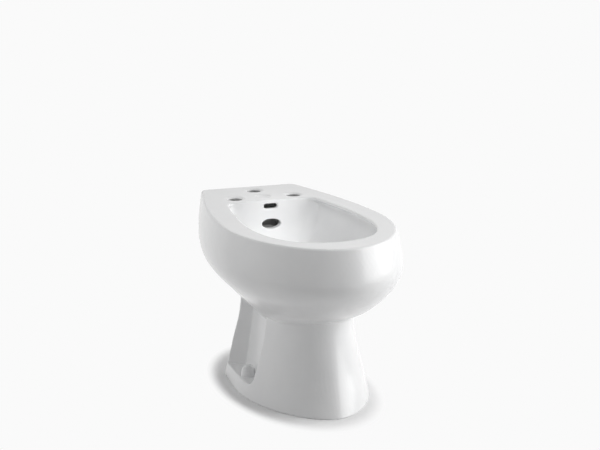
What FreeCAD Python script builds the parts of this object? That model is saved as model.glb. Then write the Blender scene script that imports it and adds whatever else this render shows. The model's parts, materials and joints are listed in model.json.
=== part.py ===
import FreeCAD, Part
import math
import os
from collections import namedtuple

# A floor-standing bidet: one hollow china casting, its push-down plug waste and its upward spray.
# Millimetres. +Z is up, the front faces -Y. The origin is the centre of the overall box, on the floor.
# Depths are setbacks, measured forwards from the deck's rear edge.

# Overall
RIM_HEIGHT = 381.0
WALL = 11.0
OVERRUN = 3.0

# Outer edge of the flat rim and deck
DECK_HALF = 118.5
DECK_CORNER_R = 19.0
RIM_HALF = 178.4
RIM_WIDEST_SETBACK = 391.0
RIM_TIP_SETBACK = 644.0
RIM_POWER = 1.9
RIM_ROUND_R = 5.0
ROUND_STEPS = 4

# Girth band below the rim
GIRTH_HEIGHT = 308.0
GIRTH_LEAN = 18.7
REAR_LEAN = 15.0
BAND_LEVEL_SHARES = (1.0, 0.76, 0.51, 0.25, 0.0)
BAND_LEAN_SHARES = (0.267, 0.5, 0.71, 0.89, 1.0)

# Neck, where the bowl's belly meets the pedestal
NECK_HEIGHT = 171.0
NECK_SETBACK = 240.0
NECK_REAR_HALF = 88.0
NECK_CORNER_R = 14.0
NECK_HALF = 92.0
NECK_WIDEST_SETBACK = 368.0
NECK_TIP_SETBACK = 505.0
NECK_POWER = 2.5
BELLY_LEVEL_SHARES = (1.0, 0.86, 0.72, 0.58, 0.44, 0.29, 0.15, 0.07, 0.0)
BELLY_SIDE_SHARES = (0.0, 0.019, 0.11, 0.276, 0.465, 0.652, 0.84, 0.96, 1.0)
BELLY_TIP_SHARES = (0.0, 0.03, 0.11, 0.23, 0.39, 0.61, 0.88, 0.98, 1.0)
BELLY_REAR_SHARES = (0.0, 0.0, 0.01, 0.07, 0.18, 0.35, 0.62, 0.84, 1.0)

# Foot outline on the floor
FOOT_SETBACK = 239.0
FOOT_REAR_HALF = 139.0
FOOT_CORNER_R = 7.0
FOOT_HALF = 147.0
FOOT_WIDEST_SETBACK = 357.0
FOOT_TIP_SETBACK = 588.0
FOOT_POWER = 1.75

# Waist, the pedestal's top inside the belly
WAIST_HEIGHT = 215.0
WAIST_SETBACK = 240.0
WAIST_REAR_HALF = 91.0
WAIST_CORNER_R = 12.0
WAIST_HALF = 98.0
WAIST_WIDEST_SETBACK = 362.0
WAIST_TIP_SETBACK = 533.0
WAIST_POWER = 2.0
FLARE_LEVEL_SHARES = (0.0, 0.1, 0.2, 0.34, 0.5, 0.68, 0.86, 1.0)
FLARE_SIDE_SHARES = (0.0, 0.17, 0.28, 0.45, 0.65, 0.82, 0.94, 1.0)
FLARE_TIP_SHARES = (0.0, 0.15, 0.31, 0.53, 0.71, 0.86, 0.95, 1.0)
FLARE_REAR_SHARES = (0.0, 0.06, 0.18, 0.32, 0.5, 0.7, 0.8, 1.0)

# Mouth of the bowl and the basin below it
MOUTH_SETBACK = 165.0
MOUTH_REAR_HALF = 107.0
MOUTH_CORNER_R = 22.0
MOUTH_HALF = 132.0
MOUTH_WIDEST_SETBACK = 400.0
MOUTH_TIP_SETBACK = 584.0
MOUTH_POWER = 2.3
MOUTH_ROUND_R = 3.5
LIP_DEPTH = 6.5
LIP_UNDERCUT = 8.0
BASIN_FLOOR = 262.0
BASIN_REAR_SLOPE = 0.15
FLOOR_SETBACK = 214.0
FLOOR_REAR_HALF = 40.0
FLOOR_CORNER_R = 20.0
FLOOR_HALF = 62.0
FLOOR_WIDEST_SETBACK = 330.0
FLOOR_TIP_SETBACK = 470.0
FLOOR_POWER = 2.0
BASIN_LEVEL_SHARES = (1.0, 0.78, 0.52, 0.3, 0.13, 0.04, 0.0)
BASIN_INSET_SHARES = (0.0, 0.08, 0.22, 0.4, 0.64, 0.86, 1.0)
BASIN_REAR_SHARES = (0.0, 0.07, 0.165, 0.33, 0.58, 0.84, 1.0)

# Overflow slot and the port below it, in the basin's rear wall
OVERFLOW_WIDTH = 33.5
OVERFLOW_LOW = 361.7
OVERFLOW_HIGH = 372.7
PORT_WIDTH = 45.5
PORT_LOW = 316.0
PORT_HIGH = 338.2
CHANNEL_HALF = 27.0
CHANNEL_SETBACK = 134.0
CHANNEL_LOW = 240.0
CHANNEL_ROOF = 7.0
PASSAGE_HALF = 12.0
PASSAGE_HEIGHT = 11.0

# Deck holes for the fittings
HOLE_R = 16.0
HOLE_DISH_R = 24.5
HOLE_DISH_DEPTH = 3.8
HOLE_DISH_KNEE_SHARE = 1 / 3
SIDE_HOLE_X = 71.1
SIDE_HOLE_SETBACK = 120.8
REAR_HOLE_SETBACK = 45.8
KNOCKOUT_SETBACK = 114.0
KNOCKOUT_R = 19.5
KNOCKOUT_DEPTH = 4.0

# Side recesses of the pedestal
SHELF_HEIGHT = 28.5
RECESS_WALL_LOW_X = 97.0
RECESS_WALL_LEAN = 0.147
RECESS_REAR_SETBACK = 270.0
RECESS_REAR_SLANT = 0.8
RECESS_FRONT_SETBACK = 411.0
RECESS_CORNER_R = 22.0

# Floor screw holes and the caps over them
SCREW_X = 114.5
SCREW_SETBACK = 338.0
SCREW_HOLE_R = 5.5
SCREW_BOSS_R = 16.0
CAP_R = 16.5
CAP_SHOULDER_R = 15.0
CAP_SHOULDER_HEIGHT = 10.0
CAP_WALL = 1.8
CAP_SOCKET_DEPTH = 4.0
CAP_CLEARANCE = 0.1
CAP_BASE_THICKNESS = 3.0
CAP_BASE_BORE_R = 6.5

# Openings at the back
WINDOW_HALF = 84.0
WINDOW_LOW = 232.0
WINDOW_HIGH = 348.0
WINDOW_CORNER_R = 24.0
WINDOW_REACH = 62.0
ARCH_HALF = 56.0
ARCH_HEIGHT = 150.0

# Waste fitting
WASTE_SETBACK = 292.0
WASTE_HOLE_R = 22.5
WASTE_BOSS_R = 34.0
WASTE_BOSS_DEPTH = 42.0
FLANGE_R = 31.0
FLANGE_THICKNESS = 2.6
FLANGE_RECESS_DEPTH = 3.6
FLANGE_RECESS_CLEARANCE = 1.2
FLANGE_BORE_R = 17.0
FLANGE_SEAT_R = 21.5
FLANGE_SEAT_DEPTH = 1.6
FLANGE_NIPPLE_LENGTH = 8.0
FLANGE_SEAL_THICKNESS = 1.6
FLANGE_SEAL_MARGIN = 0.8
THREAD_CLEARANCE = 0.1
DOME_KNEE_SHARE = 0.5
DOME_KNEE_RISE_SHARE = 0.87
WASTE_TUBE_R = 21.0
WASTE_TUBE_WALL = 2.0
WASTE_TUBE_TOP_GAP = 1.0
WASTE_TUBE_LENGTH = 76.0
WASTE_TUBE_SHOULDER = 3.0
WASTE_WINDOW_WIDTH = 16.0
GASKET_R = 32.0
GASKET_THICKNESS = 8.0
GASKET_NOSE = 4.0
GASKET_NOSE_CLEARANCE = 0.2
WASHER_R = 31.0
WASHER_THICKNESS = 2.0
LOCKNUT_R = 28.5
LOCKNUT_THICKNESS = 11.0
LOCKNUT_LUGS = 8
LOCKNUT_LUG_R = 4.0
PLUG_R = 20.9
PLUG_DOME = 2.4
PLUG_EDGE = 1.6
PLUG_SEAT_GAP = 0.3
PLUG_HUB_R = 14.0
PLUG_HUB_LENGTH = 6.0
PLUG_HUB_LIP_R = 15.5
PLUG_HUB_LIP = 1.6
PLUG_SEAL_THICKNESS = 2.4
PLUG_SEAL_GAP = 0.3
SPINDLE_R = 3.0
SPINDLE_LENGTH = 24.0
CARTRIDGE_R = 8.0
CARTRIDGE_COLLAR_R = 9.9
CARTRIDGE_COLLAR = 2.0
CARTRIDGE_TOP_GAP = 2.0
CARTRIDGE_FLOOR = 2.0
CARTRIDGE_BORE_CLEARANCE = 0.08
SPRING_LENGTH = 10.0
SPRING_R = 2.7
SPRING_BORE_R = 1.8
SPRING_GAP = 0.3
SPIDER_WIDTH = 3.0
SPIDER_HEIGHT = 5.0
SPIDER_ARMS = 3
TAIL_R = 15.875
TAIL_WALL = 1.2
TAIL_LENGTH = 105.0
TAIL_CLEARANCE = 0.2
TAIL_SOCKET_DEPTH = 14.0
TAIL_SEAL_HEIGHT = 6.0
TAIL_SEAL_R = 20.6
TAIL_SEAL_TIP_R = 18.2
TAIL_SEAL_CLEARANCE = 0.05
TAIL_SEAL_SHOULDER_SHARE = 2 / 3
TAIL_NUT_R = 25.0
TAIL_NUT_HEIGHT = 17.0
TAIL_NUT_FLOOR = 3.0
TAIL_NUT_SIDES = 8

# Spray fitting
SPRAY_SETBACK = 375.0
SPRAY_HOLE_R = 13.0
SPRAY_BOSS_R = 23.0
SPRAY_BOSS_DEPTH = 24.0
SPRAY_SEAL_THICKNESS = 1.2
SPRAY_SEAL_R = 18.0
SPRAY_COLLAR_R = 17.2
SPRAY_COLLAR_THICKNESS = 3.0
SPRAY_STEM_R = 12.4
SPRAY_BORE_R = 8.0
SPRAY_STEM_LENGTH = 62.0
ROSE_WALL = 1.8
ROSE_CLEARANCE = 0.2
ROSE_SEAT_WIDTH = 2.2
ROSE_SKIRT_GAP = 0.5
ROSE_SHOULDER = 2.4
ROSE_DOME = 6.0
ROSE_JET_R = 0.9
ROSE_JETS = 8
ROSE_JET_RING_R = 9.5
SPRAY_GASKET_THICKNESS = 4.0
SPRAY_WASHER_THICKNESS = 1.6
SPRAY_WASHER_R = 19.0
SPRAY_NUT_FLATS = 32.0
SPRAY_NUT_HEIGHT = 9.0
INLET_BORE_R = 6.0
INLET_FLANGE_R = 12.0
INLET_FLANGE = 2.8
INLET_SPIGOT_R = 8.0
INLET_SPIGOT_LENGTH = 18.0
INLET_WASHER_THICKNESS = 1.2
UNION_NUT_FLATS = 30.0
UNION_NUT_FLOOR = 2.5
UNION_NUT_HEIGHT = 14.0

# Overall box in depth: from the deck's rear edge to the girth's front tip
OVERALL_DEPTH = RIM_TIP_SETBACK + GIRTH_LEAN
REAR_Y = OVERALL_DEPTH / 2

Outline = namedtuple("Outline", "setback rear_half corner_r half widest_setback tip_setback power")


def y_at(setback):
    """Y of a place that lies a setback in front of the deck's rear edge."""
    return REAR_Y - setback


def between(low, high, share):
    return low + (high - low) * share


def grown(outline, side, rear=None):
    """The outline moved outwards by side, and at the back by rear."""
    back = side if rear is None else rear
    return outline._replace(
        setback=outline.setback - back,
        rear_half=outline.rear_half + side,
        corner_r=max(outline.corner_r + side, WALL / 2),
        half=outline.half + side,
        tip_setback=outline.tip_setback + side,
    )


def blended(first, second, side_share, tip_share, rear_share):
    """An outline between two others, with its own shares for sides, tip and back."""
    return Outline(
        between(first.setback, second.setback, rear_share),
        between(first.rear_half, second.rear_half, rear_share),
        between(first.corner_r, second.corner_r, min(rear_share, 1)),
        between(first.half, second.half, side_share),
        between(first.widest_setback, second.widest_setback, side_share),
        between(first.tip_setback, second.tip_setback, tip_share),
        between(first.power, second.power, min(side_share, 1)),
    )


def half_points(outline, start_x, start_setback, z):
    """Points down one side: out to the widest place, then round to the front tip."""
    points = []
    rear_steps = 5
    front_steps = 12
    for step in range(rear_steps):
        turn = step / rear_steps
        x = between(start_x, outline.half, math.sin(turn * math.pi / 2))
        setback = between(start_setback, outline.widest_setback, turn)
        points.append((x, setback))
    for step in range(front_steps + 1):
        angle = step / front_steps * math.pi / 2
        bend = 2 / outline.power
        x = outline.half * max(math.cos(angle), 0) ** bend
        reach = math.sin(angle) ** bend
        setback = between(outline.widest_setback, outline.tip_setback, reach)
        points.append((x if step < front_steps else 0, setback))
    return [FreeCAD.Vector(x, y_at(setback), z) for x, setback in points]


def mirrored_point(point):
    return FreeCAD.Vector(-point.x, point.y, point.z)


def side_curve(points, lean):
    """A smooth curve through the points, leaving the corner at the lean and closing square at the tip."""
    start = FreeCAD.Vector(math.sin(lean), -math.cos(lean), 0)
    curve = Part.BSplineCurve()
    curve.interpolate(Points=points, InitialTangent=start, FinalTangent=FreeCAD.Vector(-1, 0, 0))
    return curve


def ring(outline, z):
    """The closed wire of an outline at a height: back edge, two rounded corners and two sides."""
    r = outline.corner_r
    run = outline.widest_setback - outline.setback - r
    lean = math.atan(math.pi / 2 * (outline.half - outline.rear_half) / run)
    centre_x = outline.rear_half - r
    start_x = centre_x + r * math.cos(lean)
    start_setback = outline.setback + r - r * math.sin(lean)
    mid = (math.pi / 2 - lean) / 2
    corner_mid = FreeCAD.Vector(
        centre_x + r * math.sin(mid), y_at(outline.setback + r - r * math.cos(mid)), z
    )
    points = half_points(outline, start_x, start_setback, z)
    back_right = FreeCAD.Vector(centre_x, y_at(outline.setback), z)
    back_left = mirrored_point(back_right)
    right = side_curve(points, lean)
    left_points = [mirrored_point(point) for point in points]
    left = Part.BSplineCurve()
    left.interpolate(
        Points=left_points,
        InitialTangent=FreeCAD.Vector(-math.sin(lean), -math.cos(lean), 0),
        FinalTangent=FreeCAD.Vector(1, 0, 0),
    )
    left.reverse()
    edges = [
        Part.LineSegment(back_left, back_right).toShape(),
        Part.Arc(back_right, corner_mid, points[0]).toShape(),
        right.toShape(),
        left.toShape(),
        Part.Arc(left_points[0], mirrored_point(corner_mid), back_left).toShape(),
    ]
    return Part.Wire(edges)


def loft(levels, ruled=False):
    """A solid through outlines at their heights, ruled from each to the next where that is enough."""
    return Part.makeLoft([ring(outline, z) for z, outline in levels], True, ruled)


def joined(shapes):
    """One solid from several that overlap or share faces."""
    whole = shapes[0].fuse(shapes[1:]).removeSplitter()
    return whole.Solids[0] if len(whole.Solids) == 1 else whole


def cylinder(r, low, high, x, setback):
    base = FreeCAD.Vector(x, y_at(setback), low)
    return Part.makeCylinder(r, high - low, base, FreeCAD.Vector(0, 0, 1))


def tube(outer_r, inner_r, low, high, x, setback):
    outer = cylinder(outer_r, low, high, x, setback)
    return outer.cut(cylinder(inner_r, low - OVERRUN, high + OVERRUN, x, setback))


def box(half_x, near_setback, far_setback, low, high):
    """A box centred on the middle plane, between two setbacks and two heights."""
    corner = FreeCAD.Vector(-half_x, y_at(far_setback), low)
    return Part.makeBox(2 * half_x, far_setback - near_setback, high - low, corner)


def revolved(profile, setback, x=0):
    """A turned solid from (radius, height) points, about a vertical axis."""
    points = [FreeCAD.Vector(x + r, y_at(setback), z) for r, z in profile]
    face = Part.Face(Part.makePolygon(points + [points[0]]))
    axis = FreeCAD.Vector(x, y_at(setback), 0)
    return face.revolve(axis, FreeCAD.Vector(0, 0, 1), 360)


def prism(sides, flats, low, high, x, setback):
    """An upright bar with flat sides, by its size across the flats."""
    corner_r = flats / 2 / math.cos(math.pi / sides)
    points = []
    for side in range(sides + 1):
        turn = (side + 1 / 2) * 2 * math.pi / sides
        points.append(FreeCAD.Vector(
            x + corner_r * math.cos(turn), y_at(setback) + corner_r * math.sin(turn), low))
    return Part.Face(Part.makePolygon(points)).extrude(FreeCAD.Vector(0, 0, high - low))


# Outlines of the china's outer skin

rim_edge = Outline(
    0, DECK_HALF, DECK_CORNER_R, RIM_HALF, RIM_WIDEST_SETBACK, RIM_TIP_SETBACK, RIM_POWER
)
neck = Outline(
    NECK_SETBACK, NECK_REAR_HALF, NECK_CORNER_R, NECK_HALF,
    NECK_WIDEST_SETBACK, NECK_TIP_SETBACK, NECK_POWER,
)
waist = Outline(
    WAIST_SETBACK, WAIST_REAR_HALF, WAIST_CORNER_R, WAIST_HALF,
    WAIST_WIDEST_SETBACK, WAIST_TIP_SETBACK, WAIST_POWER,
)
foot = Outline(
    FOOT_SETBACK, FOOT_REAR_HALF, FOOT_CORNER_R, FOOT_HALF,
    FOOT_WIDEST_SETBACK, FOOT_TIP_SETBACK, FOOT_POWER,
)
mouth = Outline(
    MOUTH_SETBACK, MOUTH_REAR_HALF, MOUTH_CORNER_R, MOUTH_HALF,
    MOUTH_WIDEST_SETBACK, MOUTH_TIP_SETBACK, MOUTH_POWER,
)
basin_floor = Outline(
    FLOOR_SETBACK, FLOOR_REAR_HALF, FLOOR_CORNER_R, FLOOR_HALF,
    FLOOR_WIDEST_SETBACK, FLOOR_TIP_SETBACK, FLOOR_POWER,
)


def leaned(share):
    """The rim's outline with a share of the girth's lean. The back stays upright."""
    wider = grown(rim_edge, GIRTH_LEAN * share, 0)
    return wider._replace(
        rear_half=DECK_HALF + REAR_LEAN * share,
        corner_r=DECK_CORNER_R + REAR_LEAN * share,
    )


girth = leaned(1)


def round_levels():
    """The rounded top edge of the rim, as a quarter circle."""
    levels = []
    edge_share = BAND_LEAN_SHARES[0]
    for step in range(ROUND_STEPS + 1):
        angle = step / ROUND_STEPS * math.pi / 2
        drop = RIM_ROUND_R * (1 - math.cos(angle))
        levels.append((RIM_HEIGHT - drop, leaned(edge_share * math.sin(angle))))
    return levels[::-1]


def band_levels(inset=0):
    levels = []
    top = RIM_HEIGHT - RIM_ROUND_R
    for level_share, lean_share in zip(BAND_LEVEL_SHARES, BAND_LEAN_SHARES):
        z = between(GIRTH_HEIGHT, top, level_share)
        levels.append((z, grown(leaned(lean_share), -inset)))
    return levels[::-1]


def belly_levels(inset=0, lift=0):
    levels = []
    rows = zip(BELLY_LEVEL_SHARES, BELLY_SIDE_SHARES, BELLY_TIP_SHARES, BELLY_REAR_SHARES)
    for level_share, side_share, tip_share, rear_share in rows:
        z = between(NECK_HEIGHT + lift, GIRTH_HEIGHT, level_share)
        outline = blended(girth, neck, side_share, tip_share, rear_share)
        levels.append((z, grown(outline, -inset)))
    return levels[::-1]


def pedestal_levels(inset=0):
    levels = []
    rows = zip(FLARE_LEVEL_SHARES, FLARE_SIDE_SHARES, FLARE_TIP_SHARES, FLARE_REAR_SHARES)
    for level_share, side_share, tip_share, rear_share in rows:
        z = WAIST_HEIGHT * level_share
        outline = blended(foot, waist, side_share, tip_share, rear_share)
        levels.append((z, grown(outline, -inset)))
    return levels


# Basin: the hollow that holds the water

LIP_LOW = RIM_HEIGHT - LIP_DEPTH
basin_top = grown(mouth, LIP_UNDERCUT, -BASIN_REAR_SLOPE * (LIP_DEPTH - MOUTH_ROUND_R))


def basin_levels(thickness=0):
    levels = []
    for level_share, inset_share, rear_share in zip(
        BASIN_LEVEL_SHARES, BASIN_INSET_SHARES, BASIN_REAR_SHARES
    ):
        z = between(BASIN_FLOOR, LIP_LOW, level_share) - thickness
        outline = blended(basin_top, basin_floor, inset_share, inset_share, rear_share)
        levels.append((z, grown(outline, thickness)))
    return levels[::-1]


def mouth_levels():
    """The mouth through the rim's lip: its back follows the basin's slope, its top is rounded over."""
    low = LIP_LOW - OVERRUN
    high = RIM_HEIGHT - MOUTH_ROUND_R
    straight = [(low, grown(mouth, 0, -BASIN_REAR_SLOPE * (high - low))), (high, mouth)]
    round_over = []
    for step in range(ROUND_STEPS + 1):
        angle = step / ROUND_STEPS * math.pi / 2
        z = high + MOUTH_ROUND_R * math.sin(angle)
        round_over.append((z, grown(mouth, MOUTH_ROUND_R * (1 - math.cos(angle)))))
    return straight, round_over


def basin_hollow():
    straight, round_over = mouth_levels()
    return joined([loft(basin_levels()), loft(straight, True), loft(round_over, True)])


def basin_block():
    """The basin with its wall round it, before it is hollowed."""
    levels = basin_levels(WALL)
    collar = (RIM_HEIGHT - WALL, grown(basin_top, WALL))
    return loft(levels + [collar], True)


def lens(width, low, high):
    """An oval prism through the rear wall, wider than it is high."""
    half_w = width / 2
    half_h = (high - low) / 2
    middle = (high + low) / 2
    major = max(half_w, half_h)
    minor = min(half_w, half_h)
    ellipse = Part.Ellipse(FreeCAD.Vector(0, 0, 0), major, minor).toShape()
    face = Part.Face(Part.Wire([ellipse]))
    face.rotate(FreeCAD.Vector(0, 0, 0), FreeCAD.Vector(1, 0, 0), 90)
    face.translate(FreeCAD.Vector(0, y_at(FLOOR_SETBACK), middle))
    return face.extrude(FreeCAD.Vector(0, FLOOR_SETBACK - CHANNEL_SETBACK - WALL, 0))


def overflow_cutter():
    """The overflow slot: a level bar with round ends."""
    low = FreeCAD.Vector(0, y_at(FLOOR_SETBACK), (OVERFLOW_LOW + OVERFLOW_HIGH) / 2)
    r = (OVERFLOW_HIGH - OVERFLOW_LOW) / 2
    reach = FLOOR_SETBACK - CHANNEL_SETBACK - WALL
    end_x = OVERFLOW_WIDTH / 2 - r
    along = FreeCAD.Vector(0, 1, 0)
    ends = [
        Part.makeCylinder(r, reach, low + FreeCAD.Vector(side * end_x, 0, 0), along)
        for side in (-1, 1)
    ]
    bar = box(end_x, CHANNEL_SETBACK + WALL, FLOOR_SETBACK, OVERFLOW_LOW, OVERFLOW_HIGH)
    return bar.fuse(ends)


def channel_front_setback():
    """Setback of the channel's front side: the basin's rear wall less its thickness."""
    return MOUTH_SETBACK - WALL


def channel_hollow():
    """The cast channel behind the rear wall, and its passage to the waste hole."""
    drop = box(
        CHANNEL_HALF, CHANNEL_SETBACK, channel_front_setback(),
        CHANNEL_LOW, RIM_HEIGHT - CHANNEL_ROOF,
    )
    passage = box(
        PASSAGE_HALF, CHANNEL_SETBACK, WASTE_SETBACK, CHANNEL_LOW, CHANNEL_LOW + PASSAGE_HEIGHT
    )
    return drop, passage


def channel_block():
    drop = box(
        CHANNEL_HALF + WALL, CHANNEL_SETBACK - WALL, FLOOR_SETBACK,
        CHANNEL_LOW - WALL, RIM_HEIGHT - WALL,
    )
    passage = box(
        PASSAGE_HALF + WALL, CHANNEL_SETBACK, WASTE_SETBACK,
        CHANNEL_LOW - WALL, CHANNEL_LOW + PASSAGE_HEIGHT + WALL,
    )
    return [drop, passage]


# Side recesses

def recess_wall_x(z):
    return RECESS_WALL_LOW_X - RECESS_WALL_LEAN * (z - SHELF_HEIGHT)


def recess(side, thickness=0):
    """The hollow over the foot's shelf, on one side, or that hollow with its china round it.

    Its wall leans inwards as it rises, and its rear slants back to the pedestal's corner.
    """
    low = SHELF_HEIGHT - thickness
    high = WAIST_HEIGHT + OVERRUN
    rear = RECESS_REAR_SETBACK - thickness
    front = RECESS_FRONT_SETBACK + thickness
    outer = FOOT_HALF + WALL + OVERRUN
    plans = []
    for z in (low, high):
        wall_x = recess_wall_x(z) - thickness
        corners = [
            (wall_x, rear), (outer, rear - RECESS_REAR_SLANT * (outer - wall_x)),
            (outer, front), (wall_x, front),
        ]
        points = [FreeCAD.Vector(x, y_at(setback), z) for x, setback in corners]
        plans.append(Part.makePolygon(points + points[:1]))
    hollow = Part.makeLoft(plans, True, True)
    corner = [
        edge for edge in hollow.Edges
        if edge.BoundBox.XLength > WALL and edge.CenterOfMass.y < y_at(front) + OVERRUN
        and edge.CenterOfMass.z < low + OVERRUN
    ]
    hollow = hollow.makeFillet(RECESS_CORNER_R + thickness, corner)
    if side < 0:
        hollow = hollow.mirror(FreeCAD.Vector(0, 0, 0), FreeCAD.Vector(1, 0, 0))
    return hollow


def screw_boss(side):
    return cylinder(SCREW_BOSS_R, 0, SHELF_HEIGHT, side * SCREW_X, SCREW_SETBACK)


def screw_hole(side):
    return cylinder(
        SCREW_HOLE_R, -OVERRUN, SHELF_HEIGHT + OVERRUN, side * SCREW_X, SCREW_SETBACK
    )


# Deck holes

def deck_hole(x, setback):
    """A hole through the deck with a dished mouth."""
    hole = cylinder(HOLE_R, RIM_HEIGHT - 2 * WALL, RIM_HEIGHT + OVERRUN, x, setback)
    dish = revolved(
        [
            (0, RIM_HEIGHT - HOLE_DISH_DEPTH),
            (HOLE_R, RIM_HEIGHT - HOLE_DISH_DEPTH),
            (between(HOLE_R, HOLE_DISH_R, HOLE_DISH_KNEE_SHARE),
             RIM_HEIGHT - HOLE_DISH_DEPTH * HOLE_DISH_KNEE_SHARE),
            (HOLE_DISH_R, RIM_HEIGHT),
            (HOLE_DISH_R, RIM_HEIGHT + OVERRUN),
            (0, RIM_HEIGHT + OVERRUN),
        ],
        setback, x,
    )
    return hole.fuse(dish)


def knockout():
    """The undrilled centre place, marked by a shallow dish."""
    sphere_r = (KNOCKOUT_R ** 2 + KNOCKOUT_DEPTH ** 2) / (2 * KNOCKOUT_DEPTH)
    centre = FreeCAD.Vector(0, y_at(KNOCKOUT_SETBACK), RIM_HEIGHT + sphere_r - KNOCKOUT_DEPTH)
    return Part.makeSphere(sphere_r, centre)


def deck_cutters():
    cutters = [deck_hole(side * SIDE_HOLE_X, SIDE_HOLE_SETBACK) for side in (-1, 1)]
    cutters.append(deck_hole(0, REAR_HOLE_SETBACK))
    cutters.append(knockout())
    return cutters


# Openings at the back

def rear_window():
    """The opening in the upright back, for reaching the fittings under the deck."""
    window = box(WINDOW_HALF, -OVERRUN, WINDOW_REACH, WINDOW_LOW, WINDOW_HIGH)
    upright = [edge for edge in window.Edges if edge.BoundBox.YLength > WALL]
    return window.makeFillet(WINDOW_CORNER_R, upright)


def rear_arch():
    """The arched opening in the pedestal's back, for the pipes."""
    straight = ARCH_HEIGHT - ARCH_HALF
    legs = box(ARCH_HALF, FOOT_SETBACK - OVERRUN, FOOT_SETBACK + 3 * WALL, -OVERRUN, straight)
    crown = Part.makeCylinder(
        ARCH_HALF, 3 * WALL + OVERRUN,
        FreeCAD.Vector(0, y_at(FOOT_SETBACK + 3 * WALL), straight), FreeCAD.Vector(0, 1, 0),
    )
    return legs.fuse(crown)


def china_body():
    """The one fired casting: outer skin, deck, rim, basin, channel, bosses and foot."""
    sides = (-1, 1)
    pedestal = loft(pedestal_levels())
    pedestal = pedestal.cut([recess(side) for side in sides])
    outer = joined([
        loft(round_levels(), True), loft(band_levels()), loft(belly_levels()), pedestal,
    ])

    void_top = RIM_HEIGHT - WALL
    band_void = [level for level in band_levels(WALL) if level[0] < void_top]
    cap = loft([band_void[-1], (void_top, band_void[-1][1])], True)
    pedestal_void = pedestal_levels(WALL)
    sill = (-OVERRUN, pedestal_void[0][1])
    void = joined([
        loft(band_void, True), cap, loft(belly_levels(WALL, WALL), True),
        loft([sill, pedestal_void[0]], True), loft(pedestal_void, True),
    ])

    kept = [basin_block()] + channel_block()
    kept += [recess(side, WALL) for side in sides]
    kept += [screw_boss(side) for side in sides]
    kept.append(cylinder(
        WASTE_BOSS_R, BASIN_FLOOR - WASTE_BOSS_DEPTH, BASIN_FLOOR, 0, WASTE_SETBACK))
    kept.append(cylinder(
        SPRAY_BOSS_R, BASIN_FLOOR - SPRAY_BOSS_DEPTH, BASIN_FLOOR, 0, SPRAY_SETBACK))
    void = void.cut(kept)

    drop, passage = channel_hollow()
    flange_recess = cylinder(
        FLANGE_R + FLANGE_RECESS_CLEARANCE, BASIN_FLOOR - FLANGE_RECESS_DEPTH,
        BASIN_FLOOR + OVERRUN, 0, WASTE_SETBACK,
    )
    waste_hole = cylinder(
        WASTE_HOLE_R, BASIN_FLOOR - WASTE_BOSS_DEPTH - OVERRUN, BASIN_FLOOR + OVERRUN,
        0, WASTE_SETBACK,
    )
    spray_hole = cylinder(
        SPRAY_HOLE_R, BASIN_FLOOR - SPRAY_BOSS_DEPTH - OVERRUN, BASIN_FLOOR + OVERRUN,
        0, SPRAY_SETBACK,
    )
    cutters = [void, basin_hollow(), drop, passage, flange_recess, waste_hole, spray_hole]
    cutters += [overflow_cutter(), lens(PORT_WIDTH, PORT_LOW, PORT_HIGH)]
    cutters += deck_cutters()
    cutters += [rear_window(), rear_arch()]
    cutters += [screw_hole(side) for side in sides]
    return outer.cut(cutters).removeSplitter()


# Caps over the floor screws

def domed(base_r, shoulder_r, low, shoulder_z, x):
    """A round pillar that tapers to its shoulder, with half a ball on it."""
    base = FreeCAD.Vector(x, y_at(SCREW_SETBACK), low)
    crown = FreeCAD.Vector(x, y_at(SCREW_SETBACK), shoulder_z)
    up = FreeCAD.Vector(0, 0, 1)
    pillar = Part.makeCone(base_r, shoulder_r, shoulder_z - low, base, up)
    return pillar.fuse(Part.makeSphere(shoulder_r, crown, up, 0, 90, 360))


def bolt_cap(side):
    """The hollow domed cap that stands on the shelf over a floor screw."""
    x = side * SCREW_X
    shoulder_z = SHELF_HEIGHT + CAP_SHOULDER_HEIGHT
    socket_top = SHELF_HEIGHT + CAP_SOCKET_DEPTH
    socket_r = CAP_R - CAP_WALL
    outer = domed(CAP_R, CAP_SHOULDER_R, SHELF_HEIGHT, shoulder_z, x)
    inner = domed(socket_r, CAP_SHOULDER_R - CAP_WALL, socket_top, shoulder_z, x)
    socket = cylinder(socket_r, SHELF_HEIGHT - OVERRUN, socket_top, x, SCREW_SETBACK)
    return outer.cut(inner.fuse(socket)).removeSplitter()


def cap_base(side):
    """The disc under the cap, which the screw holds down and the cap presses onto."""
    outer_r = CAP_R - CAP_WALL - CAP_CLEARANCE
    top = SHELF_HEIGHT + CAP_BASE_THICKNESS
    return tube(outer_r, CAP_BASE_BORE_R, SHELF_HEIGHT, top, side * SCREW_X, SCREW_SETBACK)


# Waste fitting: heights from the basin's floor downwards

FLANGE_LOW = BASIN_FLOOR - FLANGE_RECESS_DEPTH + FLANGE_SEAL_THICKNESS
FLANGE_TOP = FLANGE_LOW + FLANGE_THICKNESS
TUBE_BORE_R = WASTE_TUBE_R - WASTE_TUBE_WALL
TUBE_TOP = BASIN_FLOOR - FLANGE_RECESS_DEPTH - WASTE_TUBE_TOP_GAP
TUBE_LOW = TUBE_TOP - WASTE_TUBE_LENGTH
WASTE_BOSS_LOW = BASIN_FLOOR - WASTE_BOSS_DEPTH
PLUG_LOW = FLANGE_TOP - FLANGE_SEAT_DEPTH + PLUG_SEAT_GAP
HUB_LOW = PLUG_LOW - PLUG_HUB_LENGTH
SPINDLE_LOW = HUB_LOW - SPINDLE_LENGTH
CARTRIDGE_TOP = HUB_LOW - CARTRIDGE_TOP_GAP
SPRING_LOW = SPINDLE_LOW - SPRING_GAP - SPRING_LENGTH
CARTRIDGE_LOW = SPRING_LOW - CARTRIDGE_FLOOR
SPIDER_TOP = CHANNEL_LOW - CARTRIDGE_COLLAR
GASKET_LOW = WASTE_BOSS_LOW - GASKET_THICKNESS
WASHER_LOW = GASKET_LOW - WASHER_THICKNESS
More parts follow.
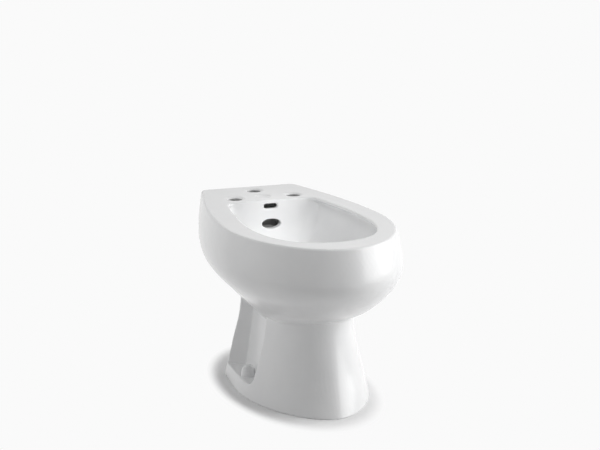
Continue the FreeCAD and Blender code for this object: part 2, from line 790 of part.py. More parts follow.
TAIL_TOP = TUBE_LOW + TAIL_SOCKET_DEPTH
SOCKET_R = TAIL_R + TAIL_CLEARANCE
THREAD_R = WASTE_TUBE_R + THREAD_CLEARANCE


def waste_flange():
    """The outlet's top ring, with a dished seat for the plug and a short threaded nipple."""
    nipple_r = TUBE_BORE_R - THREAD_CLEARANCE
    return revolved(
        [
            (FLANGE_BORE_R, FLANGE_LOW - FLANGE_NIPPLE_LENGTH),
            (nipple_r, FLANGE_LOW - FLANGE_NIPPLE_LENGTH),
            (nipple_r, FLANGE_LOW),
            (FLANGE_R, FLANGE_LOW),
            (FLANGE_R, FLANGE_LOW + FLANGE_THICKNESS / 2),
            (FLANGE_R - FLANGE_THICKNESS / 2, FLANGE_TOP),
            (FLANGE_SEAT_R, FLANGE_TOP),
            (FLANGE_SEAT_R, FLANGE_TOP - FLANGE_SEAT_DEPTH),
            (FLANGE_BORE_R, FLANGE_TOP - FLANGE_SEAT_DEPTH),
        ],
        WASTE_SETBACK,
    )


def flange_seal():
    inner = WASTE_HOLE_R + FLANGE_SEAL_MARGIN
    outer = FLANGE_R - FLANGE_SEAL_MARGIN
    return tube(outer, inner, FLANGE_LOW - FLANGE_SEAL_THICKNESS, FLANGE_LOW, 0, WASTE_SETBACK)


def waste_body():
    """The outlet's threaded tube, with overflow windows, a spider for the latch and a tail socket."""
    shell = revolved(
        [
            (SOCKET_R, TUBE_LOW),
            (WASTE_TUBE_R, TUBE_LOW),
            (WASTE_TUBE_R, TUBE_TOP),
            (TUBE_BORE_R, TUBE_TOP),
            (TUBE_BORE_R, TAIL_TOP + WASTE_TUBE_SHOULDER),
            (TAIL_R - TAIL_WALL, TAIL_TOP + WASTE_TUBE_SHOULDER),
            (TAIL_R - TAIL_WALL, TAIL_TOP),
            (SOCKET_R, TAIL_TOP),
        ],
        WASTE_SETBACK,
    )
    window = box(
        WASTE_WINDOW_WIDTH / 2, WASTE_SETBACK - WASTE_HOLE_R, WASTE_SETBACK + WASTE_HOLE_R,
        CHANNEL_LOW, CHANNEL_LOW + PASSAGE_HEIGHT,
    )
    hub_bore = CARTRIDGE_R + THREAD_CLEARANCE
    spider_low = SPIDER_TOP - SPIDER_HEIGHT
    hub = tube(CARTRIDGE_COLLAR_R, hub_bore, spider_low, SPIDER_TOP, 0, WASTE_SETBACK)
    arms = []
    centre = FreeCAD.Vector(0, y_at(WASTE_SETBACK), spider_low)
    for index in range(SPIDER_ARMS):
        reach = between(TUBE_BORE_R, WASTE_TUBE_R, 1 / 2)
        arm = Part.makeBox(
            reach - hub_bore - THREAD_CLEARANCE, SPIDER_WIDTH, SPIDER_HEIGHT,
            centre + FreeCAD.Vector(hub_bore + THREAD_CLEARANCE, -SPIDER_WIDTH / 2, 0),
        )
        arm.rotate(centre, FreeCAD.Vector(0, 0, 1), 360 / SPIDER_ARMS * index)
        arms.append(arm)
    return joined([shell.cut(window), hub] + arms)


def waste_gasket():
    """The tapered rubber washer under the casting, with a nose up into the hole."""
    nose_r = WASTE_HOLE_R - GASKET_NOSE_CLEARANCE
    return revolved(
        [
            (THREAD_R, GASKET_LOW),
            (GASKET_R, GASKET_LOW),
            (GASKET_R, WASTE_BOSS_LOW),
            (nose_r, WASTE_BOSS_LOW),
            (between(THREAD_R, nose_r, 1 / 2), WASTE_BOSS_LOW + GASKET_NOSE),
            (THREAD_R, WASTE_BOSS_LOW + GASKET_NOSE),
        ],
        WASTE_SETBACK,
    )


def waste_washer():
    return tube(WASHER_R, THREAD_R, WASHER_LOW, GASKET_LOW, 0, WASTE_SETBACK)


def waste_locknut():
    """The lugged ring nut that draws the outlet down onto the casting."""
    low = WASHER_LOW - LOCKNUT_THICKNESS
    lugs = []
    for index in range(LOCKNUT_LUGS):
        turn = 2 * math.pi / LOCKNUT_LUGS * index
        lugs.append(cylinder(
            LOCKNUT_LUG_R, low, WASHER_LOW, LOCKNUT_R * math.cos(turn),
            WASTE_SETBACK + LOCKNUT_R * math.sin(turn),
        ))
    ring_body = cylinder(LOCKNUT_R, low, WASHER_LOW, 0, WASTE_SETBACK)
    whole = joined([ring_body] + lugs)
    return whole.cut(cylinder(THREAD_R, low - OVERRUN, WASHER_LOW + OVERRUN, 0, WASTE_SETBACK))


def waste_plug():
    """The domed plug with its grooved hub below."""
    seal_high = HUB_LOW + PLUG_HUB_LIP
    edge_top = PLUG_LOW + PLUG_EDGE
    return revolved(
        [
            (0, HUB_LOW),
            (PLUG_HUB_LIP_R, HUB_LOW),
            (PLUG_HUB_LIP_R, seal_high),
            (PLUG_HUB_R, seal_high),
            (PLUG_HUB_R, PLUG_LOW),
            (PLUG_R, PLUG_LOW),
            (PLUG_R, edge_top),
            (PLUG_R * math.cos(math.pi / 6), edge_top + PLUG_DOME / 2),
            (PLUG_R * DOME_KNEE_SHARE, edge_top + PLUG_DOME * DOME_KNEE_RISE_SHARE),
            (0, edge_top + PLUG_DOME),
        ],
        WASTE_SETBACK,
    )


def plug_seal():
    low = HUB_LOW + PLUG_HUB_LIP
    return tube(
        FLANGE_BORE_R - PLUG_SEAL_GAP, PLUG_HUB_R, low, low + PLUG_SEAL_THICKNESS,
        0, WASTE_SETBACK,
    )


def plug_spindle():
    return cylinder(SPINDLE_R, SPINDLE_LOW, HUB_LOW, 0, WASTE_SETBACK)


def plug_cartridge():
    """The push-push latch's housing, seated by its collar on the spider's hub."""
    bore_r = SPINDLE_R + CARTRIDGE_BORE_CLEARANCE
    return revolved(
        [
            (0, CARTRIDGE_LOW),
            (CARTRIDGE_R, CARTRIDGE_LOW),
            (CARTRIDGE_R, SPIDER_TOP),
            (CARTRIDGE_COLLAR_R, SPIDER_TOP),
            (CARTRIDGE_COLLAR_R, SPIDER_TOP + CARTRIDGE_COLLAR),
            (CARTRIDGE_R, SPIDER_TOP + CARTRIDGE_COLLAR),
            (CARTRIDGE_R, CARTRIDGE_TOP),
            (bore_r, CARTRIDGE_TOP),
            (bore_r, SPRING_LOW),
            (0, SPRING_LOW),
        ],
        WASTE_SETBACK,
    )


def latch_spring():
    """The latch's spring, pressed shut, as the closed sleeve of its coils."""
    return tube(SPRING_R, SPRING_BORE_R, SPRING_LOW, SPRING_LOW + SPRING_LENGTH, 0, WASTE_SETBACK)


def tailpiece():
    return tube(TAIL_R, TAIL_R - TAIL_WALL, TAIL_TOP - TAIL_LENGTH, TAIL_TOP, 0, WASTE_SETBACK)


def tail_seal():
    inner = TAIL_R + TAIL_SEAL_CLEARANCE
    low = TUBE_LOW - TAIL_SEAL_HEIGHT
    return revolved(
        [
            (inner, low),
            (TAIL_SEAL_TIP_R, low),
            (TAIL_SEAL_R, between(low, TUBE_LOW, TAIL_SEAL_SHOULDER_SHARE)),
            (TAIL_SEAL_R, TUBE_LOW),
            (inner, TUBE_LOW),
        ],
        WASTE_SETBACK,
    )


def tail_nut():
    """The eight-sided nut that presses the tail's seal against the outlet."""
    floor_low = TUBE_LOW - TAIL_SEAL_HEIGHT - TAIL_NUT_FLOOR
    body = prism(
        TAIL_NUT_SIDES, 2 * TAIL_NUT_R, floor_low, floor_low + TAIL_NUT_HEIGHT, 0, WASTE_SETBACK)
    hollow = cylinder(
        THREAD_R, floor_low + TAIL_NUT_FLOOR, floor_low + TAIL_NUT_HEIGHT + OVERRUN,
        0, WASTE_SETBACK,
    )
    hole = cylinder(
        SOCKET_R, floor_low - OVERRUN, floor_low + TAIL_NUT_HEIGHT, 0, WASTE_SETBACK)
    return body.cut([hollow, hole])


# Spray fitting: heights from the basin's floor

COLLAR_LOW = BASIN_FLOOR + SPRAY_SEAL_THICKNESS
COLLAR_TOP = COLLAR_LOW + SPRAY_COLLAR_THICKNESS
STEM_LOW = COLLAR_LOW - SPRAY_STEM_LENGTH
SPRAY_BOSS_LOW = BASIN_FLOOR - SPRAY_BOSS_DEPTH
SPRAY_GASKET_LOW = SPRAY_BOSS_LOW - SPRAY_GASKET_THICKNESS
SPRAY_WASHER_LOW = SPRAY_GASKET_LOW - SPRAY_WASHER_THICKNESS
SPRAY_NUT_LOW = SPRAY_WASHER_LOW - SPRAY_NUT_HEIGHT
STEM_THREAD_R = SPRAY_STEM_R + THREAD_CLEARANCE
INLET_TOP = STEM_LOW - INLET_WASHER_THICKNESS
INLET_FLANGE_LOW = INLET_TOP - INLET_FLANGE


def spray_body():
    """The spray's collar on the basin's floor and its threaded stem down through the casting."""
    return revolved(
        [
            (SPRAY_BORE_R, STEM_LOW),
            (SPRAY_STEM_R, STEM_LOW),
            (SPRAY_STEM_R, COLLAR_LOW),
            (SPRAY_COLLAR_R, COLLAR_LOW),
            (SPRAY_COLLAR_R, COLLAR_TOP),
            (SPRAY_BORE_R, COLLAR_TOP),
        ],
        SPRAY_SETBACK,
    )


def spray_rose():
    """The domed rose, screwed over the collar, with a ring of upward jets."""
    skirt_r = SPRAY_COLLAR_R + ROSE_CLEARANCE
    outer_r = skirt_r + ROSE_WALL
    inner_r = SPRAY_COLLAR_R - ROSE_SEAT_WIDTH
    shoulder = COLLAR_TOP + ROSE_SHOULDER
    low = COLLAR_LOW + ROSE_SKIRT_GAP
    crown = shoulder + ROSE_DOME
    dome = revolved(
        [
            (skirt_r, low),
            (outer_r, low),
            (outer_r, shoulder),
            (outer_r * math.cos(math.pi / 6), shoulder + ROSE_DOME / 2),
            (outer_r * DOME_KNEE_SHARE, shoulder + ROSE_DOME * DOME_KNEE_RISE_SHARE),
            (0, crown),
            (0, crown - ROSE_WALL),
            (inner_r * DOME_KNEE_SHARE, shoulder + (ROSE_DOME - ROSE_WALL) * DOME_KNEE_RISE_SHARE),
            (inner_r, shoulder),
            (inner_r, COLLAR_TOP),
            (skirt_r, COLLAR_TOP),
        ],
        SPRAY_SETBACK,
    )
    jets = [cylinder(ROSE_JET_R, COLLAR_TOP, crown + OVERRUN, 0, SPRAY_SETBACK)]
    for index in range(ROSE_JETS):
        turn = 2 * math.pi / ROSE_JETS * index
        jets.append(cylinder(
            ROSE_JET_R, COLLAR_TOP, crown + OVERRUN, ROSE_JET_RING_R * math.cos(turn),
            SPRAY_SETBACK + ROSE_JET_RING_R * math.sin(turn),
        ))
    return dome.cut(jets)


def spray_seal():
    inner = SPRAY_HOLE_R + THREAD_CLEARANCE
    return tube(SPRAY_SEAL_R, inner, BASIN_FLOOR, COLLAR_LOW, 0, SPRAY_SETBACK)


def spray_gasket():
    return tube(
        SPRAY_WASHER_R, STEM_THREAD_R, SPRAY_GASKET_LOW, SPRAY_BOSS_LOW, 0, SPRAY_SETBACK)


def spray_washer():
    return tube(
        SPRAY_WASHER_R, STEM_THREAD_R, SPRAY_WASHER_LOW, SPRAY_GASKET_LOW, 0, SPRAY_SETBACK)


def hex_nut(flats, low, high):
    return prism(6, flats, low, high, 0, SPRAY_SETBACK)


def spray_locknut():
    nut = hex_nut(SPRAY_NUT_FLATS, SPRAY_NUT_LOW, SPRAY_WASHER_LOW)
    return nut.cut(cylinder(
        STEM_THREAD_R, SPRAY_NUT_LOW - OVERRUN, SPRAY_WASHER_LOW + OVERRUN, 0, SPRAY_SETBACK))


def inlet_washer():
    return tube(INLET_FLANGE_R, SPRAY_BORE_R, INLET_TOP, STEM_LOW, 0, SPRAY_SETBACK)


def spray_inlet():
    """The flanged spigot that takes the supply hose."""
    return revolved(
        [
            (INLET_BORE_R, INLET_FLANGE_LOW - INLET_SPIGOT_LENGTH),
            (INLET_SPIGOT_R, INLET_FLANGE_LOW - INLET_SPIGOT_LENGTH),
            (INLET_SPIGOT_R, INLET_FLANGE_LOW),
            (INLET_FLANGE_R, INLET_FLANGE_LOW),
            (INLET_FLANGE_R, INLET_TOP),
            (INLET_BORE_R, INLET_TOP),
        ],
        SPRAY_SETBACK,
    )


def union_nut():
    """The nut that clamps the inlet's flange under the stem."""
    low = INLET_FLANGE_LOW - UNION_NUT_FLOOR
    high = low + UNION_NUT_HEIGHT
    hollow = cylinder(STEM_THREAD_R, INLET_FLANGE_LOW, high + OVERRUN, 0, SPRAY_SETBACK)
    hole = cylinder(
        INLET_SPIGOT_R + TAIL_CLEARANCE, low - OVERRUN, high, 0, SPRAY_SETBACK)
    return hex_nut(UNION_NUT_FLATS, low, high).cut([hollow, hole])


def build():
    return {
        "china_body": china_body(),
        "waste_flange": waste_flange(),
        "flange_seal": flange_seal(),
        "waste_body": waste_body(),
        "waste_gasket": waste_gasket(),
        "waste_washer": waste_washer(),
        "waste_locknut": waste_locknut(),
        "waste_plug": waste_plug(),
        "plug_seal": plug_seal(),
        "plug_spindle": plug_spindle(),
        "plug_cartridge": plug_cartridge(),
        "latch_spring": latch_spring(),
        "tailpiece": tailpiece(),
        "tail_seal": tail_seal(),
        "tail_nut": tail_nut(),
        "spray_rose": spray_rose(),
        "spray_body": spray_body(),
        "spray_seal": spray_seal(),
        "spray_gasket": spray_gasket(),
        "spray_washer": spray_washer(),
        "spray_locknut": spray_locknut(),
        "inlet_washer": inlet_washer(),
        "spray_inlet": spray_inlet(),
        "union_nut": union_nut(),
        "cap_base_left": cap_base(-1),
        "cap_base_right": cap_base(1),
        "bolt_cap_left": bolt_cap(-1),
        "bolt_cap_right": bolt_cap(1),
    }


def save(parts):
    os.makedirs("parts", exist_ok=True)
    for name, shape in parts.items():
        print(name, shape.isValid(), len(shape.Solids), round(shape.Volume / 1000, 1))
        shape.exportStep("parts/" + name + ".step")


save(build())
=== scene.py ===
import json
import math

import bpy
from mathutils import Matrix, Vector


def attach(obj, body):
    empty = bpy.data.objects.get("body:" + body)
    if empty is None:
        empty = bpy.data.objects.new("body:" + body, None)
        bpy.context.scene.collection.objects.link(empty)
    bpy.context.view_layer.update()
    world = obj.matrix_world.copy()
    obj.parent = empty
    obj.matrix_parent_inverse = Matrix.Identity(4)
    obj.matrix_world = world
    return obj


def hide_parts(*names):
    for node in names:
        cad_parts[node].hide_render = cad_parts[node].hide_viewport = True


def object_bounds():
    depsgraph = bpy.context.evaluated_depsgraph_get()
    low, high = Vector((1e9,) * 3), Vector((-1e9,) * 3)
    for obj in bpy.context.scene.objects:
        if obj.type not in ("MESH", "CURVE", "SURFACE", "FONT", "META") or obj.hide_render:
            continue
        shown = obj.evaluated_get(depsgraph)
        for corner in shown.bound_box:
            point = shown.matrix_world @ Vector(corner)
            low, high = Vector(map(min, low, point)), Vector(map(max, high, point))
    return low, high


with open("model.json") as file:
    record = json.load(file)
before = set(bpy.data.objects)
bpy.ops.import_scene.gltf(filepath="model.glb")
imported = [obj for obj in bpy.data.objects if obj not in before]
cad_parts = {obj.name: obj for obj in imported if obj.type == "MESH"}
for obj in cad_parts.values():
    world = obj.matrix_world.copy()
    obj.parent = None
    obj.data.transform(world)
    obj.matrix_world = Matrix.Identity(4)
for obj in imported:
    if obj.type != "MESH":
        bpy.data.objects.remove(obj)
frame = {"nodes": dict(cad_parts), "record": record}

cad_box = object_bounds()

# Setbacks are measured forward from the deck's rear edge, in metres like all lengths here
REAR_Y = cad_box[1][1]

# Camera, fitted to the photograph's outline of the rim, deck and foot
AIM_SETBACK = 0.300
AIM_HEIGHT = 0.190
CAMERA_DISTANCE = 2.9
CAMERA_AZIMUTH = math.radians(-20.2)
CAMERA_ELEVATION = math.radians(16.3)
FRAME_WIDTH_PX = 600
FRAME_HEIGHT_PX = 450
FOCAL_PX = 1295.1
CENTRE_X_PX = 290.8
CENTRE_Y_PX = 295.6
SENSOR_MM = 36.0
CLIP_END = 50

# China: tones, then the noises as scale, detail and roughness, then the bump as strength and depth
CHINA_DIM = 0.855
CHINA_DIM_WARMTH = -0.005
CHINA_PALE = 0.885
CHINA_PALE_WARMTH = -0.002
CHINA_MOTTLE = (14.0, 4.0, 0.55)
CHINA_SHEEN = (9.0, 3.0, 0.5)
CHINA_PEEL = (160.0, 2.0, 0.5)
CHINA_RIPPLE = (22.0, 1.0, 0.4)
CHINA_BUMP = (0.05, 0.004)
PEEL_SHARE = 0.12
GLAZE_ROUGHNESS = (0.20, 0.28)
GLAZE_IOR = 1.52
COAT_WEIGHT = 0.25
COAT_ROUGHNESS = 0.16

# Painted shade: a dark grey painted into the overflow channel and the faucet holes, with the soft
# edge of its mask
PAINTED_SHADE_GREY = 0.40
CHANNEL_SETBACK = 0.1465
CHANNEL_HEIGHT = 0.308
CHANNEL_HALVES = (0.030, 0.0135, 0.063)
FAUCET_HOLES = ((-0.0711, 0.1208), (0.0711, 0.1208), (0.0, 0.0458))
HOLE_HEIGHT = 0.364
HOLE_HALVES = (0.0168, 0.0168, 0.0145)
SHADE_EDGE = 0.97

# Metals: colour and roughness
METALS = {
    "chrome": ((0.78, 0.79, 0.80), 0.09),
    "brass": ((0.72, 0.54, 0.28), 0.28),
    "steel": ((0.60, 0.60, 0.61), 0.32),
}
METAL_SMEAR = (60.0, 4.0, 0.6)
METAL_DIM_SHARE = 0.96
METAL_ROUGHNESS_SHARES = (0.8, 1.3)
METAL_BUMP = (0.04, 0.0005)

# Rubber and plastic: colour, roughness and the scale of the grain
DULL_SOLIDS = {
    "rubber": ((0.045, 0.045, 0.047), 0.75, 240.0),
    "white_plastic": ((0.78, 0.78, 0.76), 0.5, 200.0),
}
GRAIN_DETAIL = 5.0
GRAIN_ROUGHNESS = 0.6
GRAIN_DIM_SHARE = 0.85
GRAIN_BUMP = (0.2, 0.0005)

# Where a noise's tint starts and ends
WIDE_TINT = (0.3, 0.7)
NARROW_TINT = (0.35, 0.65)

# The china's even surface and its softened edges
VOXEL = 0.0017
SOFTEN_FACTOR = 0.5
SOFTEN_STEPS = 5

# Floor: its tones, and the plain white that takes over beyond the foot's own shadow
WHITE = 0.956
FLOOR_WHITE = 0.93
FLOOR_BOUNCE = 0.78
FLOOR_HALF = 6.0
FOOT_HALF_X = 0.147
FOOT_HALF_Y = 0.257
SHADOW_CENTRE = (-0.012, -0.012, 0.0)
SHADOW_INNER = 1.0
SHADOW_OUTER = 1.22

# Surroundings: even light, dimmest in front of the object
AMBIENT = 0.33
FRONT_AMBIENT = 0.12
DARK_AZIMUTH = math.radians(-28)
DARK_START = 0.1
DARK_END = 0.8

# Broad lights: name, place, target, size, power and whether the glaze mirrors them
MIDDLE = (0, 0, 0.2)
RIGHT_LIGHT = ("right_light", (2.44, -0.82, 1.00), MIDDLE, (3.2, 2.6), 70, True)
BOWL_LIGHT = ("bowl_light", (0.0, -0.62, 1.50), (0, 0.08, 0.3), (0.30, 0.30), 3.2, False)
LEFT_LIGHT = ("left_light", (-2.41, 0.97, 0.90), MIDDLE, (2.8, 2.2), 21, False)

# Spot that lights the basin's rear wall from over the rim
SPOT_PLACE = (0.05, -0.90, 1.00)
SPOT_TARGET = (0.01, 0.16, 0.298)
SPOT_WIDTH = math.radians(11.5)
SPOT_RADIUS = 0.06
SPOT_POWER = 30

# Sockets of the mix node, whose names repeat: first and second input, then the output
MIX_COLOUR = (6, 7, 2)
MIX_NUMBER = (2, 3, 0)


def link_object(name, data):
    thing = bpy.data.objects.new(name, data)
    bpy.context.scene.collection.objects.link(thing)
    return thing


def make_camera():
    """The camera at the photograph's place, with the shift that its framing needs."""
    data = bpy.data.cameras.new("view_camera")
    data.sensor_width = SENSOR_MM
    data.lens = FOCAL_PX / FRAME_WIDTH_PX * SENSOR_MM
    data.shift_x = (FRAME_WIDTH_PX / 2 - CENTRE_X_PX) / FRAME_WIDTH_PX
    data.shift_y = (CENTRE_Y_PX - FRAME_HEIGHT_PX / 2) / FRAME_WIDTH_PX
    data.clip_end = CLIP_END
    camera = link_object("view_camera", data)
    flat = math.cos(CAMERA_ELEVATION)
    away = Vector((
        math.sin(CAMERA_AZIMUTH) * flat,
        -math.cos(CAMERA_AZIMUTH) * flat,
        math.sin(CAMERA_ELEVATION),
    ))
    aim = Vector((0, REAR_Y - AIM_SETBACK, AIM_HEIGHT))
    camera.location = aim + away * CAMERA_DISTANCE
    camera.rotation_euler = away.to_track_quat("Z", "Y").to_euler()
    bpy.context.scene.camera = camera


# Building blocks of the materials

def new_material(name):
    material = bpy.data.materials.new(name)
    material.use_nodes = True
    tree = material.node_tree
    return material, tree, tree.nodes["Principled BSDF"]


def add(tree, kind, values=(), links=(), **settings):
    """A shader node with its settings, the plain values of its inputs, and what feeds them."""
    node = tree.nodes.new("ShaderNode" + kind)
    for name, setting in settings.items():
        setattr(node, name, setting)
    for socket, value in dict(values).items():
        node.inputs[socket].default_value = value
    for socket, source in dict(links).items():
        tree.links.new(source, node.inputs[socket])
    return node


def grey(value, warmth=0.0):
    return (value * (1 + warmth), value, value * (1 - warmth), 1.0)


def opaque(colour, share=1.0):
    return tuple(part * share for part in colour) + (1.0,)


def noise(tree, scale, detail, roughness):
    coords = add(tree, "TexCoord").outputs["Object"]
    values = {"Scale": scale, "Detail": detail, "Roughness": roughness}
    return add(tree, "TexNoise", values, {"Vector": coords}).outputs["Fac"]


def tint(tree, source, dim, pale, span):
    """A colour that runs from dim to pale with the source."""
    node = add(tree, "ValToRGB", links={"Fac": source})
    first, second = node.color_ramp.elements
    first.position, second.position = span
    first.color = dim
    second.color = pale
    return node.outputs["Color"]


def coloured(tree, shader, source):
    tree.links.new(source, shader.inputs["Base Color"])


def roughened(tree, shader, source, low, high):
    spread = add(tree, "MapRange", {"To Min": low, "To Max": high}, {"Value": source})
    tree.links.new(spread.outputs["Result"], shader.inputs["Roughness"])


def bumped(tree, shader, source, strength, depth):
    values = {"Strength": strength, "Distance": depth}
    node = add(tree, "Bump", values, {"Height": source})
    tree.links.new(node.outputs["Normal"], shader.inputs["Normal"])


def blend(tree, kind, sockets, factor, values=(), links=()):
    """Mixes two colours or numbers. Keys 0 and 1 of values and links are its two sides."""
    first_side, second_side, output = sockets
    sides = (first_side, second_side)
    node = add(
        tree, "Mix",
        {sides[key]: value for key, value in dict(values).items()},
        {sides[key]: source for key, source in dict(links).items()},
        data_type=kind,
    )
    tree.links.new(factor, node.inputs["Factor"])
    return node.outputs[output]


def larger(tree, first, second):
    return add(tree, "Math", links={0: first, 1: second}, operation="MAXIMUM").outputs["Value"]


def smooth_step(tree, source, start, end, low=0.0, high=1.0):
    values = {"From Min": start, "From Max": end, "To Min": low, "To Max": high}
    node = add(tree, "MapRange", values, {"Value": source}, interpolation_type="SMOOTHSTEP")
    return node.outputs["Result"]


def measured_from(tree, centre, halves):
    """The surface point from a centre, as shares of the half sizes."""
    coords = add(tree, "TexCoord").outputs["Object"]
    values = {"Location": centre, "Scale": halves}
    node = add(tree, "Mapping", values, {"Vector": coords}, vector_type="TEXTURE")
    return node.outputs["Vector"]


def vector_length(tree, source):
    return add(tree, "VectorMath", links={0: source}, operation="LENGTH").outputs["Value"]


# Materials

def share_inside(tree, centre, halves, round_plan):
    """1 inside a box, or an upright cylinder, and 0 outside."""
    point = measured_from(tree, centre, halves)
    size = add(tree, "VectorMath", links={0: point}, operation="ABSOLUTE").outputs["Vector"]
    parts = add(tree, "SeparateXYZ", links={"Vector": size}).outputs
    if round_plan:
        plan = add(tree, "CombineXYZ", links={"X": parts["X"], "Y": parts["Y"]})
        across = vector_length(tree, plan.outputs["Vector"])
    else:
        across = larger(tree, parts["X"], parts["Y"])
    return smooth_step(tree, larger(tree, across, parts["Z"]), 1.0, SHADE_EDGE)


def painted_shade_share(tree):
    """1 in the overflow channel and the faucet holes, where shade is painted into the glaze
    colour.
    """
    channel = (0, REAR_Y - CHANNEL_SETBACK, CHANNEL_HEIGHT)
    share = share_inside(tree, channel, CHANNEL_HALVES, False)
    for x, setback in FAUCET_HOLES:
        hole = (x, REAR_Y - setback, HOLE_HEIGHT)
        share = larger(tree, share, share_inside(tree, hole, HOLE_HALVES, True))
    return share


def glazed_china():
    """White fired glaze: faint mottling, a slow ripple and fine orange peel under the gloss."""
    material, tree, shader = new_material("glazed_china")
    dim = grey(CHINA_DIM, CHINA_DIM_WARMTH)
    pale = grey(CHINA_PALE, CHINA_PALE_WARMTH)
    glaze = tint(tree, noise(tree, *CHINA_MOTTLE), dim, pale, WIDE_TINT)
    shade_tone = {1: grey(PAINTED_SHADE_GREY)}
    # Painted shade: the overflow channel and the faucet holes take a dark grey in place of the
    # glaze colour
    coloured(tree, shader, blend(tree, "RGBA", MIX_COLOUR, painted_shade_share(tree), shade_tone, {0: glaze}))
    roughened(tree, shader, noise(tree, *CHINA_SHEEN), *GLAZE_ROUGHNESS)
    relief = add(
        tree, "Math", {1: PEEL_SHARE},
        {0: noise(tree, *CHINA_PEEL), 2: noise(tree, *CHINA_RIPPLE)},
        operation="MULTIPLY_ADD",
    )
    bumped(tree, shader, relief.outputs["Value"], *CHINA_BUMP)
    shader.inputs["IOR"].default_value = GLAZE_IOR
    shader.inputs["Coat Weight"].default_value = COAT_WEIGHT
    shader.inputs["Coat Roughness"].default_value = COAT_ROUGHNESS
    return material


def polished_metal(name, colour, roughness):
    """Bright plating with faint wiping marks in its gloss."""
    material, tree, shader = new_material(name)
    smear = noise(tree, *METAL_SMEAR)
    dim = opaque(colour, METAL_DIM_SHARE)
    coloured(tree, shader, tint(tree, smear, dim, opaque(colour), NARROW_TINT))
    low, high = (roughness * share for share in METAL_ROUGHNESS_SHARES)
    roughened(tree, shader, smear, low, high)
    bumped(tree, shader, smear, *METAL_BUMP)
    shader.inputs["Metallic"].default_value = 1.0
    return material


def dull_solid(name, colour, roughness, grain):
    """Moulded rubber or plastic with a fine grain."""
    material, tree, shader = new_material(name)
    texture = noise(tree, grain, GRAIN_DETAIL, GRAIN_ROUGHNESS)
    dim = opaque(colour, GRAIN_DIM_SHARE)
    coloured(tree, shader, tint(tree, texture, dim, opaque(colour), WIDE_TINT))
    bumped(tree, shader, texture, *GRAIN_BUMP)
    shader.inputs["Roughness"].default_value = roughness
    return material


# The object

def dress_nodes(materials):
    """Every CAD node gets its slot's material."""
    for row in frame["record"]["subparts"]:
        mesh = frame["nodes"][row["node"]].data
        mesh.materials.clear()
        mesh.materials.append(materials[row["material_slot"]])


def glazed_body(glaze):
    """The casting's surface rebuilt evenly, so that every edge is rounded as glaze rounds it."""
    piece = link_object("glazed_body", frame["nodes"]["china_body"].data.copy())
    remesh = piece.modifiers.new("even", "REMESH")
    remesh.mode = "VOXEL"
    remesh.voxel_size = VOXEL
    soften = piece.modifiers.new("soften", "SMOOTH")
    soften.factor = SOFTEN_FACTOR
    soften.iterations = SOFTEN_STEPS
    depsgraph = bpy.context.evaluated_depsgraph_get()
    mesh = bpy.data.meshes.new_from_object(piece.evaluated_get(depsgraph))
    piece.modifiers.clear()
    piece.data = mesh
    mesh.materials.clear()
    mesh.materials.append(glaze)
    for polygon in mesh.polygons:
        polygon.use_smooth = True
    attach(piece, "body")
    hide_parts("china_body")


# Stage: white floor and surroundings, and broad soft light, strongest from the right

def seen_plainly(tree):
    """1 for rays that come from the camera, a mirror or glass, otherwise 0."""
    path = add(tree, "LightPath").outputs
    seen = larger(tree, path["Is Camera Ray"], path["Is Glossy Ray"])
    return larger(tree, seen, path["Is Transmission Ray"])


def floor_material():
    """Matt white near the object, where its shadow falls, and plain white further out."""
    material, tree, shader = new_material("stage_white")
    plain = seen_plainly(tree)
    tones = {0: grey(FLOOR_BOUNCE), 1: grey(FLOOR_WHITE)}
    coloured(tree, shader, blend(tree, "RGBA", MIX_COLOUR, plain, tones))
    shader.inputs["Roughness"].default_value = 1.0
    shader.inputs["Specular IOR Level"].default_value = 0.0
    glow = add(tree, "Emission", {"Color": grey(WHITE)})
    foot = measured_from(tree, SHADOW_CENTRE, (FOOT_HALF_X, FOOT_HALF_Y, 1))
    far = smooth_step(tree, vector_length(tree, foot), SHADOW_INNER, SHADOW_OUTER)
    share = add(tree, "Math", links={0: far, 1: plain}, operation="MULTIPLY")
    mix = add(tree, "MixShader", links={
        "Fac": share.outputs["Value"], 1: shader.outputs["BSDF"], 2: glow.outputs["Emission"],
    })
    tree.links.new(mix.outputs["Shader"], tree.nodes["Material Output"].inputs["Surface"])
    return material


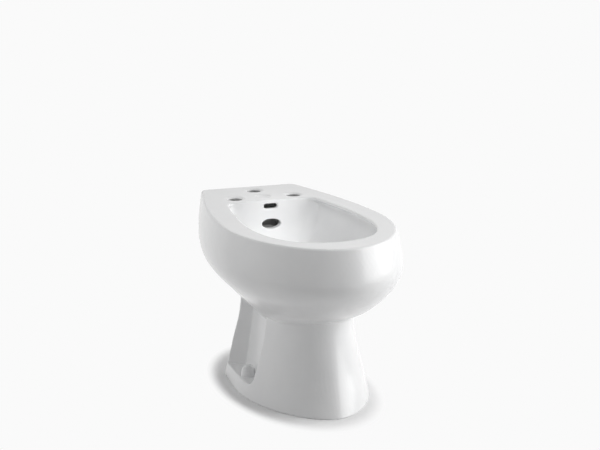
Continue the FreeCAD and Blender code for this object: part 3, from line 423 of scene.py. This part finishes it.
def make_floor():
    mesh = bpy.data.meshes.new("stage_floor")
    corners = ((-1, -1), (1, -1), (1, 1), (-1, 1))
    mesh.from_pydata([(x * FLOOR_HALF, y * FLOOR_HALF, 0) for x, y in corners], [], [(0, 1, 2, 3)])
    mesh.materials.append(floor_material())
    floor = link_object("stage_floor", mesh)


def make_world():
    """White to the eye and in mirrors. As light it is softer, and dimmest in front."""
    world = bpy.data.worlds.new("studio")
    bpy.context.scene.world = world
    world.use_nodes = True
    tree = world.node_tree
    direction = add(tree, "TexCoord").outputs["Generated"]
    front = (math.sin(DARK_AZIMUTH), -math.cos(DARK_AZIMUTH), 0)
    facing = add(tree, "VectorMath", {1: front}, {0: direction}, operation="DOT_PRODUCT")
    ambient = smooth_step(
        tree, facing.outputs["Value"], DARK_START, DARK_END, AMBIENT, FRONT_AMBIENT
    )
    strength = blend(tree, "FLOAT", MIX_NUMBER, seen_plainly(tree), {1: WHITE}, {0: ambient})
    background = tree.nodes["Background"]
    background.inputs["Color"].default_value = grey(1.0)
    tree.links.new(strength, background.inputs["Strength"])


def hang_light(data, place, target, power, mirrored):
    data.energy = power
    light = link_object(data.name, data)
    light.location = place
    aim = Vector(place) - Vector(target)
    light.rotation_euler = aim.to_track_quat("Z", "Y").to_euler()
    light.visible_glossy = mirrored


def area_light(name, place, target, size, power, mirrored):
    data = bpy.data.lights.new(name, "AREA")
    data.shape = "RECTANGLE"
    data.size, data.size_y = size
    hang_light(data, place, target, power, mirrored)


def basin_spot():
    data = bpy.data.lights.new("basin_spot", "SPOT")
    data.spot_size = SPOT_WIDTH
    data.spot_blend = 1.0
    data.shadow_soft_size = SPOT_RADIUS
    hang_light(data, SPOT_PLACE, SPOT_TARGET, SPOT_POWER, False)


make_camera()

china = glazed_china()
materials = {"glazed_china": china}
for name, look in METALS.items():
    materials[name] = polished_metal(name, *look)
for name, look in DULL_SOLIDS.items():
    materials[name] = dull_solid(name, *look)
dress_nodes(materials)
glazed_body(china)

make_floor()
make_world()
area_light(*RIGHT_LIGHT)
area_light(*BOWL_LIGHT)
basin_spot()
area_light(*LEFT_LIGHT)

bpy.context.scene.view_settings.view_transform = "Standard"
